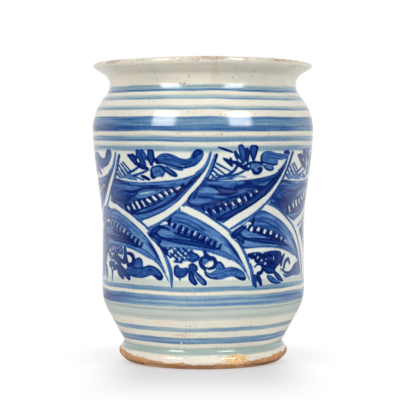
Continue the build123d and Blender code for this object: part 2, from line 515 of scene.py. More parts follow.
class Brush:
    """A painter's brush on the coat: it keeps how far each place lies inside the paint."""

    def __init__(self, round_jar, up):
        self.round_jar = round_jar
        self.up = up
        self.wash = np.full(len(up), far_off)
        self.tone = np.zeros(len(up))
        self.stroke = np.full(len(up), far_off)
        self.depth = np.zeros(len(up))
        self.along = round_jar.copy()
        self.across = up.copy()
        self.shift = 0.0
        self.slip = 0.0

    def reached(self, line):
        """The places near a line, and their round and up as the line sees them."""
        low, high = line[:, :2].min(0) + far_off, line[:, :2].max(0) - far_off
        middle = (low[0] + high[0]) / 2
        rounds = self.round_jar - self.shift - middle
        rounds = rounds - girth * np.round(rounds / girth) + middle
        rounds = rounds + self.slip * np.sin(self.up / 13 + 4 * self.slip + rounds / 21)
        ups = self.up + self.slip * np.sin(rounds / 17 + 9 * self.slip)
        inside = (rounds > low[0]) & (rounds < high[0]) & (ups > low[1]) & (ups < high[1])
        chosen = np.flatnonzero(inside)
        return chosen, np.stack([rounds[chosen], ups[chosen]], 1)

    def nearest(self, places, line):
        """For each place: its distance to the line, and how far along in runs the nearest point is."""
        start, run = line[:-1, :2], line[1:, :2] - line[:-1, :2]
        away = places[:, None] - start
        share = np.clip((away * run).sum(2) / np.maximum((run * run).sum(1), 1e-9), 0, 1)
        gap = np.linalg.norm(away - share[..., None] * run, axis=2)
        run_number = gap.argmin(1)
        every = np.arange(len(places))
        return gap[every, run_number], run_number + share[every, run_number]

    def comb(self, chosen, places, line, gap, along, inside):
        """Lays the brush hairs along a line where the paint is: they streak it in the glaze."""
        run_number = np.minimum(along.astype(int), len(line) - 2)
        run = line[run_number + 1, :2] - line[run_number, :2]
        away = places - line[run_number, :2]
        side = np.sign(run[:, 0] * away[:, 1] - run[:, 1] * away[:, 0])
        lengths = np.linalg.norm(np.diff(line[:, :2], axis=0), axis=1)
        way = np.interp(along, np.arange(len(line)), np.concatenate([[0], np.cumsum(lengths)]))
        wet = inside > -1.0
        self.along[chosen[wet]] = way[wet] + self.shift
        self.across[chosen[wet]] = (side * gap)[wet]

    def inside_stroke(self, points, widths, hairs=False):
        """How far inside a brush stroke each place lies: widths are across it, at its points."""
        widths = widths if isinstance(widths, (list, tuple)) else [widths] * len(points)
        line = smooth_line([(*point, width) for point, width in zip(points, widths)])
        chosen, places = self.reached(line)
        if not len(chosen):
            return chosen, np.zeros(0)
        gap, along = self.nearest(places, line)
        inside = np.interp(along, np.arange(len(line)), line[:, 2]) / 2 - gap
        if hairs:
            self.comb(chosen, places, line, gap, along, inside)
        return chosen, inside

    def inside_shape(self, corners):
        """How far inside a closed rounded shape each place lies, and where it is."""
        line = smooth_line([*corners, corners[0]])
        chosen, places = self.reached(line)
        gap, along = self.nearest(places, line)
        start, end = line[:-1, :2], line[1:, :2]
        spans = (start[:, 1] > places[:, None, 1]) != (end[:, 1] > places[:, None, 1])
        rise = np.where(end[:, 1] == start[:, 1], 1e-9, end[:, 1] - start[:, 1])
        crossing = start[:, 0] + (places[:, None, 1] - start[:, 1]) / rise * (end[:, 0] - start[:, 0])
        within = (spans & (crossing > places[:, None, 0])).sum(1) % 2 == 1
        return chosen, np.where(within, gap, -gap), places

    def lay(self, chosen, inside, tone):
        """Thin paint goes on: it covers the ground and sets the tone."""
        self.wash[chosen] = np.maximum(self.wash[chosen], inside)
        wet = np.clip(inside / 0.9 + 0.6, 0, 1)
        self.tone[chosen] += (tone - self.tone[chosen]) * wet

    def leaf(self, corners, spine, tone, streaks):
        """A shape filled with thin paint that is streaked along its spine."""
        chosen, inside, places = self.inside_shape(corners)
        spine_line = smooth_line(spine)
        gap, along = self.nearest(places, spine_line)
        self.comb(chosen, places, spine_line, gap, along, inside)
        offset = self.across[chosen] + 0.7 * np.sin(along / 4)
        streak = grain(along / 7 + self.shift, offset / 1.7 + 20) + 0.6 * grain(along / 4, offset / 1.1 + 7)
        self.lay(chosen, inside, tone + streaks * (streak - 0.8))

    def pool(self, points, widths, tone):
        """A soft darker or lighter stroke in paint that is already there."""
        chosen, inside = self.inside_stroke(points, widths)
        soft = np.clip(inside / 1.2 + 0.5, 0, 1)
        self.tone[chosen] += (tone - self.tone[chosen]) * soft * 0.85

    def thin(self, points, widths, tone):
        """A stroke of thin paint."""
        chosen, inside = self.inside_stroke(points, widths, hairs=True)
        self.lay(chosen, inside, tone)

    def patch(self, corners, tone):
        """A small shape of thin paint."""
        chosen, inside, places = self.inside_shape(corners)
        wet = inside > -1.0
        self.along[chosen[wet]], self.across[chosen[wet]] = places[wet].T
        self.lay(chosen, inside, tone + 0.16 * (grain(places[:, 0] / 2.5, places[:, 1] / 1.2) - 0.5))

    def line(self, points, widths, depth=0.85):
        """A stroke of strong paint."""
        chosen, inside = self.inside_stroke(points, widths, hairs=True)
        self.stroke[chosen] = np.maximum(self.stroke[chosen], inside)
        self.depth[chosen] += (depth - self.depth[chosen]) * np.clip(inside / 0.8 + 0.7, 0, 1)

    def bare(self, points, widths):
        """A stroke left bare, or wiped clean, so that the white glaze shows."""
        chosen, inside = self.inside_stroke(points, widths)
        self.wash[chosen] = np.minimum(self.wash[chosen], -inside)
        self.stroke[chosen] = np.minimum(self.stroke[chosen], -inside)

    def bare_shape(self, corners):
        """A shape left bare."""
        chosen, inside, places = self.inside_shape(corners)
        self.wash[chosen] = np.minimum(self.wash[chosen], -inside)
        self.stroke[chosen] = np.minimum(self.stroke[chosen], -inside)

    def teeth(self, marks, depth):
        """A row of short strokes, each (round, up, lean, rise, width): bare where depth is 0."""
        for round_jar, up, lean, rise, width in marks:
            ends = [(round_jar - lean / 2, up - rise / 2), (round_jar + lean / 2, up + rise / 2)]
            if depth:
                self.line(ends, [width, 0.8 * width], depth)
            else:
                self.bare(ends, [width, 0.8 * width])

    def hatch(self, strokes, widths, depth):
        """Straight strokes, each (round, up, round, up)."""
        for round_low, up_low, round_high, up_high in strokes:
            self.line([(round_low, up_low), (round_high, up_high)], widths, depth)


def upper_leaf_a(brush):
    """The broad leaf that rises to the right, in middle blue, with dark ribs and a row of teeth."""
    brush.leaf(
        [(-86, 131), (-84, 137), (-80, 143), (-77, 147), (-72, 147.4), (-60, 146), (-47, 145.5), (-33, 146.5),
         (-20, 148), (-10, 150.5), (-4, 153.5), (0, 158), (3, 163.5), (5, 169), (7, 168), (6, 161), (2, 152),
         (-5, 143), (-15, 132), (-30, 121), (-47, 113), (-54, 114.2), (-60, 116.8), (-66, 120), (-72, 124),
         (-79, 127.5)],
        [(-84, 133), (-60, 133), (-40, 135), (-20, 141), (-5, 151), (4, 163)], 0.62, 0.36,
    )
    brush.pool([(-82, 139), (-72, 136), (-62, 134)], [9, 12, 8], 0.80)
    brush.pool([(-80, 130), (-72, 128), (-64, 128)], [4, 6, 5], 0.84)
    brush.pool([(-80, 134), (-72, 140), (-64, 140)], [2, 3, 3], 0.64)
    brush.pool([(-58, 145), (-40, 144.4), (-26, 145.4), (-14, 147.6)], 2.2, 0.46)
    brush.pool([(-56, 135.4), (-47, 135.2), (-40, 136.4), (-33, 138)], [3, 3.6, 3, 2], 0.42)
    brush.pool([(-51, 136.8), (-44, 137.8), (-38, 138.4)], 1.2, 0.26)
    brush.pool([(-58, 118.4), (-46, 119.8), (-34, 124), (-24, 130), (-16, 137)], 2.0, 0.48)
    brush.pool([(-30, 140.2), (-24, 141.4), (-19, 143)], 1.4, 0.42)
    brush.line([(-85, 131.5), (-83.5, 136.5), (-80, 142), (-76.5, 146.6)], [1.0, 1.8, 1.6, 1.4], 0.86)
    brush.line([(-77, 146.8), (-72, 146.6), (-68, 144.8), (-60, 143.6)], [1.4, 2.6, 2.0, 1.2], 0.90)
    brush.line([(-86, 130.5), (-79, 127.9), (-72, 124.3), (-66, 120.6), (-60, 117.3), (-55, 115)], 1.4, 0.80)
    brush.line([(-83, 133.5), (-75, 131.5), (-67, 131), (-60, 132.3)], [1.8, 3.2, 3.2, 1.6], 0.86)
    brush.line([(-76, 137), (-66, 138.5), (-57, 138), (-47, 140.6), (-36, 141.4), (-26, 141.6), (-17, 144.2)],
               [1.2, 2.0, 3.0, 2.0, 2.6, 1.6, 1.0], 0.88)
    brush.line([(-66, 134), (-58, 134.5), (-52, 137)], [1.6, 2.4, 1.2], 0.88)
    brush.line([(-60, 143), (-48, 142.7), (-38, 143.4), (-26, 143.6)], [1.2, 1.6, 1.3, 0.8], 0.80)
    brush.line([(-66, 129.4), (-58, 131), (-50, 132.7), (-42, 134.4), (-34, 137.6), (-24, 141.4)], 1.1, 0.82)
    brush.line([(-62, 120.6), (-50, 121.6), (-41, 124), (-32, 127.3), (-24, 131.8), (-17, 138), (-11, 143.6),
                (-5, 149.6), (-1, 154)], [1.4, 2.2, 2.4, 2.8, 3.2, 3.6, 3.4, 2.6, 1.0], 0.88)
    brush.line([(-66, 121.4), (-56, 123), (-46, 126), (-38, 128.6), (-30, 132.4)], [3.2, 2.4, 1.8, 2.0, 1.4], 0.90)
    brush.line([(-56, 116.4), (-44, 117.6), (-32, 122.4), (-22, 128.6)], [0.8, 1.0, 1.0, 0.8], 0.72)
    brush.teeth(
        [(-65.8, 124.4, 2.2, -5.6, 3.6), (-60.2, 126, 2.2, -4.6, 2.8), (-55.4, 127.8, 2.2, -4.4, 2.6),
         (-50.4, 129, 2.4, -4.6, 3.0), (-45.4, 130.4, 3.4, -3.8, 2.6), (-40.4, 132, 3.8, -3.6, 2.8),
         (-35.2, 133.8, 3.8, -3.2, 2.8), (-30.4, 135.8, 3.2, -3.0, 2.6), (-25.9, 137.6, 2.6, -2.8, 2.6),
         (-21.4, 139.6, 2.2, -2.8, 2.6), (-15.6, 142.4, 2.0, 3.8, 3.2), (-18.6, 139.2, 3, 1.6, 2.2)], 0.97,
    )
    brush.teeth(
        [(-62.8, 124.1, 2.0, -4.0, 1.8), (-57.5, 126.5, 2.2, -3.2, 1.8), (-53, 127.8, 2.8, -4.0, 2.2),
         (-47.8, 129, 2.6, -3.6, 1.6), (-42.8, 131.4, 2.2, -1.4, 2.4), (-37.6, 133.4, 2.0, -1.8, 2.4),
         (-32.4, 135.4, 1.8, -1.2, 2.3), (-27.8, 137.4, 1.4, -1.6, 2.0), (-23.4, 139.2, 1.0, -1.6, 1.7),
         (-18.2, 141.6, 2.4, 1.2, 1.6)], 0,
    )
    brush.thin([(-5, 153), (0, 157), (3, 162), (5.4, 169)], 1.5, 0.40)
    brush.line([(-13, 142.5), (-8, 148), (-5, 150.6)], [1.8, 2.4, 1.2], 0.93)
    brush.bare_shape(
        [(-55, 114.2), (-47, 116.8), (-40, 119.2), (-30, 123.8), (-20, 130.6), (-15, 135.4), (-10, 140.8),
         (-5, 146.6), (0, 153), (3, 158), (5, 163), (6.2, 169.4), (7.4, 169), (6.6, 163), (4.8, 157.5),
         (2.5, 152.5), (0, 148.2), (-5, 141.3), (-10, 135.4), (-15, 130), (-20, 125.3), (-30, 118.4),
         (-38, 113.9), (-46.5, 109.9)]
    )
    brush.thin([(-47, 109.6), (-38, 112.5), (-28, 118), (-20, 123.6), (-14, 129), (-8, 135.8), (-2, 143.2),
                (3, 150.6), (6, 157), (8, 163), (9.3, 167)], [1.6, 2.4, 2.4, 2.4, 2.2, 2.2, 2.2, 2.6, 3, 2.8, 2.0], 0.50)
    brush.line([(-38, 111.8), (-28, 117.2), (-18, 124.4), (-8, 135)], 0.7, 0.62)
    brush.line([(0, 146.4), (4, 150.4), (6.4, 156), (8.4, 162), (9.4, 166.6)], [1.0, 1.4, 1.6, 1.8, 2.4], 0.90)


def upper_leaf_b(brush):
    """The next broad leaf, painted darker, with small teeth."""
    brush.leaf(
        [(-12.5, 129.5), (-11, 133.5), (-7, 138.5), (-2, 144), (1, 147.6), (8, 147.4), (20, 147), (30, 147.6),
         (40, 148.6), (50, 150.2), (57, 152.3), (62, 155.5), (66, 160), (69, 166), (70.4, 169.5), (72, 168),
         (71, 160), (66, 150), (60, 141), (52, 133), (40, 124), (30, 118.5), (20, 114.5), (14, 115.2), (8, 118.4),
         (0, 123), (-8, 127.4)],
        [(-10, 132), (10, 133), (30, 136), (45, 141), (60, 150), (69, 163)], 0.72, 0.32,
    )
    brush.pool([(-1, 139), (5, 139.6), (10, 138.6)], [3, 4.6, 2.4], 0.42)
    brush.pool([(-8, 131), (-3, 131.4), (5, 132.4)], [3, 3.4, 1.6], 0.46)
    brush.pool([(8, 135.2), (13, 135.2), (17, 134.6)], [1.6, 2.2, 1.2], 0.46)
    brush.pool([(3, 145.6), (14, 145.4), (24, 146), (30, 145.6)], [1.6, 2.6, 2.6, 1.6], 0.44)
    brush.pool([(22, 137), (26, 137.6), (32, 138.4)], 1.8, 0.52)
    brush.pool([(44, 143.5), (50, 144), (54, 145)], 2.0, 0.56)
    brush.pool([(15, 124.4), (24, 127.2), (34, 131)], 1.2, 0.50)
    brush.line([(-11.6, 130), (-10.4, 134), (-6, 139.4), (-1, 145)], [1.2, 2.0, 1.6, 1.2], 0.86)
    brush.line([(-7.6, 133), (-5, 137.4), (-3.4, 142)], [1.4, 2.2, 1.2], 0.86)
    brush.line([(-4, 134.8), (2, 134.6), (8, 134)], [1.2, 1.6, 1.2], 0.92)
    brush.line([(-9.4, 128.4), (-3, 127.8), (6, 129.6), (16, 132)], [2.0, 2.4, 2.4, 1.6], 0.90)
    brush.line([(4, 143), (10, 142), (16, 139.4), (24, 139)], [1.4, 3.8, 6.0, 4.0], 0.96)
    brush.line([(10, 136.8), (18, 136.4), (26, 138.6)], [1.4, 2.6, 2.0], 0.92)
    brush.line([(24, 141.6), (32, 143.2), (42, 142.2), (50, 141.8)], [2.6, 3.8, 3.4, 2.0], 0.90)
    brush.line([(31, 146.4), (36, 145.4), (37, 142.6)], [1.8, 3.2, 2.4], 0.88)
    brush.line([(40, 146.6), (48, 146.6), (56, 149)], [1.2, 2.0, 1.4], 0.84)
    brush.line([(2, 129.6), (10, 131.6), (20, 134), (30, 137), (38, 139.6)], 1.6, 0.88)
    brush.line([(11, 117.6), (20, 121), (30, 125.6), (38, 131), (46, 137), (53, 143.2), (60, 150), (65, 156.4)],
               [3.0, 6.0, 6.0, 6.4, 6.8, 5.4, 3.6, 1.6], 0.95)
    brush.line([(16, 115.4), (26, 118), (36, 123), (46, 129.6)], [0.8, 1.0, 1.0, 0.8], 0.74)
    brush.teeth(
        [(0.4, 125, 2, -3, 2.0), (5.4, 123, 2.2, -4.6, 3.4), (10.6, 125, 2.4, -4.4, 3.6), (15.2, 127, 2.0, -4, 3.2),
         (19.6, 128.6, 2.4, -4.4, 3.4), (25.6, 129.6, 3.0, -3.4, 3.2), (29.8, 132, 2.4, -4.2, 3.0),
         (34.6, 134.2, 2.4, -3.6, 3.0), (39, 136.6, 2.4, -3.2, 2.8), (44, 139, 2.4, -2.6, 2.6)], 0.99,
    )
    brush.teeth(
        [(2.6, 123, 1.6, -0.8, 1.2), (8.4, 123.7, 1.8, -2.6, 1.0), (13.4, 125.6, 1.0, -2.4, 0.9),
         (17.2, 128.8, 0.5, -0.8, 1.5), (22.8, 129.2, 1.6, -2.4, 1.4), (27.6, 131.8, 0.8, -1.0, 2.9),
         (32.6, 133.2, 1.4, -2.6, 1.2), (36.8, 136, 0.5, -0.8, 1.7), (41.4, 138.6, 0.9, -0.4, 1.3)], 0,
    )
    brush.thin([(60, 154.4), (64.4, 158.4), (67.6, 163), (70, 169)], 1.3, 0.46)
    brush.bare_shape(
        [(15.6, 114.9), (20, 117.6), (25, 120.8), (30, 123.4), (40, 129), (50, 135.6), (55, 140), (60, 145.8),
         (64, 151.6), (67, 157), (69, 162.5), (70.4, 169.4), (71.8, 169), (71.2, 163), (69.6, 157.4),
         (67, 152), (63, 145.6), (60, 141), (55, 134.6), (50, 129.6), (40, 122.4), (30, 116.6), (25, 113.6),
         (20.4, 110.6), (17.6, 112.4)]
    )
    brush.thin([(21, 110), (30, 115.2), (40, 121), (49, 127.8), (55, 133.4), (61, 140.6), (66, 148.6), (70, 157),
                (72.4, 163), (74, 168)], [1.6, 2.2, 2.2, 2.2, 2.2, 2.4, 2.4, 2.6, 2.6, 2.0], 0.52)
    brush.line([(26, 112.4), (38, 119), (50, 127.8), (60, 138.4)], 0.7, 0.64)
    brush.line([(66, 150), (70, 157.4), (72.6, 163.4), (74.2, 168.4)], [0.9, 1.6, 2.1, 2.6], 0.92)


def lower_leaf(brush, dark_teeth, bare_teeth, base=0.55):
    """The leaf that falls to the right under a broad one, with its white border and its stem."""
    brush.leaf(
        [(-46, 107), (-40, 110.5), (-33, 115), (-26, 119.7), (-20, 124), (-15.5, 123.4), (-10, 121), (0, 116.4),
         (5, 113.3), (10, 109.8), (15, 106), (20, 101.5), (25, 95.8), (28, 91), (31, 85.5), (34, 79), (36.5, 71),
         (38, 69), (37.4, 72), (34, 76.5), (30, 80.5), (27, 83.3), (20, 87.5), (10, 91.3), (0, 93.8),
         (-10, 95.3), (-20, 95.8), (-33, 95.5), (-38, 99), (-43, 103)],
        [(-42, 106), (-25, 105), (-5, 102), (10, 97), (22, 90), (32, 79), (37, 70)], base, 0.40,
    )
    brush.pool([(-34, 106.6), (-28, 106.8), (-23, 105.6)], [2.4, 3.2, 2.0], 0.46)
    brush.pool([(-36, 98.6), (-26, 98), (-14, 97.4), (-4, 96)], [2.4, 3, 2.2, 1.6], 0.40)
    brush.pool([(-18, 121), (-9, 117.6), (0, 112.8), (9, 106.6), (15, 101)], [2, 3.6, 4, 4, 3.4], 0.46)
    brush.pool([(2, 108.4), (9, 103.6), (14, 98.6), (20, 92.6), (27, 85)], [1.6, 2.6, 3.4, 3.6, 2.6], 0.36)
    brush.pool([(29, 85), (33, 78), (36, 71)], [3, 2.4, 1.6], 0.38)
    brush.line([(-43, 105.4), (-38.6, 108.4), (-33, 111.4), (-26, 109.6)], [3.0, 5.0, 3.4, 1.6], 0.92)
    brush.line([(-42.6, 104.6), (-37, 104), (-34, 100)], [2.4, 5.6, 3.0], 0.92)
    brush.line([(-37, 99.4), (-34, 96.4), (-30, 95.6)], [1.6, 2.0, 1.2], 0.84)
    brush.line([(-37, 104.4), (-30, 102.4), (-21, 101.2), (-10, 99.6), (0, 98), (8, 95.8), (13, 94.4)],
               [2.6, 3.0, 4.2, 4.6, 4.0, 3.2, 1.4], 0.90)
    brush.line([(-23, 107.4), (-15, 105), (-6, 102.8), (4, 100)], [1.6, 3.0, 2.8, 1.6], 0.90)
    brush.line([(-20, 119.4), (-12, 117.2), (-4, 113.4), (4, 108.4), (10, 103.6)], [0.8, 1.4, 1.4, 1.2, 0.8], 0.70)
    brush.line([(-22, 116.6), (-14, 114.4), (-6, 110.8), (2, 106.4)], [1.4, 1.8, 1.6, 1.0], 0.76)
    brush.line([(-19, 123), (-10, 119.8), (0, 115), (8, 109.8), (15, 104.2)], 0.8, 0.66)
    brush.line([(18, 100), (23, 95), (27.4, 89.4), (31, 83)], [1.0, 2.8, 2.4, 1.0], 0.84)
    brush.line([(12, 94.6), (20, 90.6), (27, 85), (33, 78), (36.6, 71)], [1.2, 1.3, 1.3, 1.0, 0.8], 0.70)
    brush.line([(-33, 95.6), (-20, 95.8), (-9, 95.2), (2, 93.4), (12, 90.4), (21, 86.6)], 0.9, 0.68)
    brush.line([(22, 92.4), (28, 85), (33, 76.6)], [0.6, 0.8, 0.6], 0.66)
    brush.line([(-26, 119.4), (-21, 123)], [1.2, 1.8], 0.74)
    brush.teeth(dark_teeth, 0.98)
    brush.line([(-24.8, 118), (-26.2, 116), (-26.4, 113)], [1.8, 3.2, 2.6], 0.99)
    brush.teeth(bare_teeth, 0)
    brush.bare([(-33.4, 113.2), (-30, 114.6), (-28.2, 114.4)], [0.8, 2.2, 1.6])
    brush.bare([(-16, 126.3), (-10, 123.2), (0, 118.4), (5, 115.4), (10, 112), (15, 108.4), (20, 104), (25, 98.2),
                (29, 92.2), (32, 86.6), (35, 80.2), (37, 75), (38, 70)],
               [3.2, 4.0, 4.1, 4.1, 4.1, 4.3, 4.3, 4.1, 4.0, 3.9, 3.2, 2.2, 0.8])
    brush.thin([(-13, 128.8), (-5, 125.6), (3, 121), (11, 115.4), (18, 110.6)], [1.4, 1.8, 1.8, 1.8, 1.8], 0.56)
    brush.thin([(18, 110.6), (24, 104.8), (29, 98), (33, 91), (36.4, 83.8), (38.8, 77), (39.8, 69), (40, 65)],
               [1.8, 2.2, 2.2, 2.6, 3.0, 3.2, 2.2, 1.2], 0.48)
    brush.line([(24, 105.2), (29.4, 98), (33, 91.6), (36.6, 84), (39, 77), (39.8, 69)], [0.6, 1.0, 1.0, 1.0, 1.2, 1.0], 0.80)


lower_b_dark = [(-21.9, 112.6, 1.2, 2.6, 3.0), (-17.6, 110.6, 1.8, 3.4, 3.6), (-13, 109, 1.6, 3.4, 3.2),
                (-8.4, 107, 1.4, 3.2, 3.0), (-3.8, 105.4, 2.2, 3.0, 2.6), (0.4, 102.8, 1.6, 3.4, 3.3),
                (5, 100.8, 1.6, 3.2, 2.9), (9, 99, 1.6, 3.4, 3.0), (13.2, 97.2, 1.2, 2.4, 2.4)]
lower_b_bare = [(-24.2, 113.4, 0.8, 2.4, 0.9), (-19.9, 112, 1.2, 2.2, 0.9), (-15.2, 110.6, 1.2, 2.8, 1.1),
                (-10.7, 108.6, 1.2, 2.4, 0.9), (-6.2, 107.2, 1.2, 2.4, 1.5), (-2, 104.6, 1.6, 2.0, 0.9),
                (2.6, 102.8, 1.8, 2.4, 1.0), (7.2, 100.8, 1.6, 2.2, 0.9)]
lower_c_bare = [(-30.6, 112.2, 0.8, 1.6, 1.6), (-27, 110.2, 0.6, 1.4, 2.8), (-21, 109.9, 0.6, 1.2, 2.7),
                (-15, 107.8, 0.6, 1.4, 2.6), (-8.8, 106.5, 0.6, 1.4, 2.5), (-2.6, 103.6, 0.6, 1.2, 2.2),
                (3, 101.4, 0.6, 1.2, 1.8), (8, 99, 0.6, 1, 1.4)]
lower_c_dark = [(-29.2, 111, 1.0, 3.6, 2.2), (-24, 109.6, 1.4, 3.6, 2.8), (-18, 108.8, 1.4, 3.4, 2.8),
                (-11.8, 106.8, 1.4, 3.4, 2.8), (-5.8, 105, 1.4, 3.4, 2.8), (0, 102.6, 1.4, 3.2, 2.8), (5.4, 100, 1.4, 3, 2.6)]


def curled_leaf(brush, corners, tone, ribs, edge):
    """A scrolled leaf of thin paint with a strong outline and ribs."""
    brush.patch(corners, tone)
    for points in ribs:
        brush.line(points, [0.8, *[1.2] * (len(points) - 2), 0.8], 0.80)
    brush.line(edge, [1.2, *[1.7] * (len(edge) - 2), 1.2], 0.90)


def top_spray_a(brush):
    """Above the leaf: a hatched bud, berries, a flower and a long scrolled leaf."""
    brush.patch([(-72, 152), (-66, 156), (-60, 154), (-55, 150), (-52, 147), (-60, 147.6), (-70, 148.4)], 0.44)
    brush.hatch([(-73, 152, -69.6, 148.4), (-70.8, 155, -66, 149.4), (-69.2, 157.8, -62.4, 150),
                 (-66.8, 159.4, -58.6, 151.4), (-64.6, 160.6, -56.6, 153.2)], [1.7, 1.3], 0.86)
    for start, end in (((-69.4, 154.6), (-65.4, 150.2)), ((-66.6, 157), (-61.6, 151.6)), ((-64, 158.4), (-59, 153.4)),
                       ((-66, 147.9), (-61.4, 147.9))):
        brush.bare([start, end], [1.2, 0.9])
    brush.line([(-60, 152.4), (-54.6, 154.4), (-49.8, 157.2)], [2.0, 2.2, 2.0], 0.74)
    brush.thin([(-60, 150.8), (-53, 149.6), (-46, 147.4)], 1.5, 0.50)
    brush.thin([(-55, 150.8), (-48, 152.4), (-41, 155.4)], [1.6, 2.0, 1.8], 0.66)
    brush.line([(-47.4, 150.4), (-44.4, 149.2), (-41.2, 147.8)], [2.0, 3.0, 2.2], 0.99)
    brush.line([(-58.8, 166.2), (-55.4, 164.6), (-51.4, 160.4)], [2.0, 4.8, 4.4], 0.92)
    brush.line([(-54.4, 166), (-51, 163)], [3.4, 4.4], 0.88)
    brush.line([(-50.2, 169.6), (-48.4, 165), (-45.4, 158.4)], [3.2, 5.0, 4.2], 0.80)
    brush.line([(-45.8, 169.4), (-44.2, 165), (-43.4, 160)], [3.6, 4.8, 3.2], 0.76)
    brush.line([(-50.8, 159.6), (-46.4, 157.2), (-42, 156.2)], [2.6, 3.6, 2.4], 0.94)
    brush.line([(-39, 168.4), (-38.6, 164.6), (-38.4, 159.4)], [6.6, 7.0, 2.8], 0.92)
    brush.line([(-50.4, 170.4), (-47.6, 170.2)], 1.2, 0.70)
    brush.bare([(-49.8, 162.8), (-49.2, 161.4)], 1.5)
    brush.bare([(-42.9, 162.6), (-42, 160), (-40.8, 157.8)], [0.9, 1.6, 1.0])
    brush.patch([(-39.6, 155.6), (-36, 158.2), (-31, 157.6), (-28.2, 154), (-29.6, 150.4), (-34, 149.8), (-37.4, 148),
                 (-39.4, 151.4)], 0.56)
    brush.line([(-38.8, 156.2), (-34.4, 158), (-30.4, 156.8), (-28.6, 153.6), (-30.4, 150.4)], 1.5, 0.90)
    brush.line([(-38.8, 154.6), (-38.2, 150), (-36, 149.6)], [2.0, 3.2, 1.6], 0.94)
    brush.line([(-36, 153.4), (-32.6, 154.6), (-31.4, 152)], [1.4, 1.0, 1.2], 0.84)
    curled_leaf(brush, [(-32, 159.6), (-28, 158), (-22, 154.4), (-19, 151.2), (-19.6, 150.2), (-24.6, 151.4), (-28.6, 155)],
                0.72, (), [(-31.8, 158.8), (-27.4, 154.6), (-22.8, 151.2), (-19.4, 150.8), (-21.4, 153.6), (-27, 157.6)])
    curled_leaf(
        brush,
        [(-35.4, 163.8), (-34, 165), (-30.5, 167.4), (-25.8, 168), (-21.4, 166.8), (-17, 164.6), (-12, 163.6),
         (-9.2, 164.8), (-8.2, 167.4), (-6.2, 170.2), (-4, 171.4), (-1, 171), (0.4, 168.8), (0, 165.4), (-2, 162),
         (-5.4, 158.6), (-9.2, 157.6), (-13, 157.6), (-14.8, 158.4), (-14.4, 155), (-18, 155), (-22.6, 156.2),
         (-26.4, 158), (-30, 159.8), (-34.4, 160)],
        0.68,
        ([(-33, 162), (-26, 163.8), (-18, 161.4), (-11, 160), (-5, 161.4)],
         [(-30, 165.6), (-24, 166), (-17, 162.8), (-9, 162), (-5.4, 166)]),
        [(-35, 163.6), (-34.4, 160.6), (-29.6, 160.4), (-22, 158.6), (-15, 157), (-9, 158.2), (-4.4, 160.4)],
    )
    brush.line([(-34.6, 162.8), (-33.6, 161)], 3.0, 0.95)
    brush.line([(-6.4, 165.4), (-4.4, 168.4), (-2.6, 168.6)], [3.4, 5.0, 4.4], 0.91)
    brush.pool([(-26, 158.6), (-20, 157.2)], 1.6, 0.46)


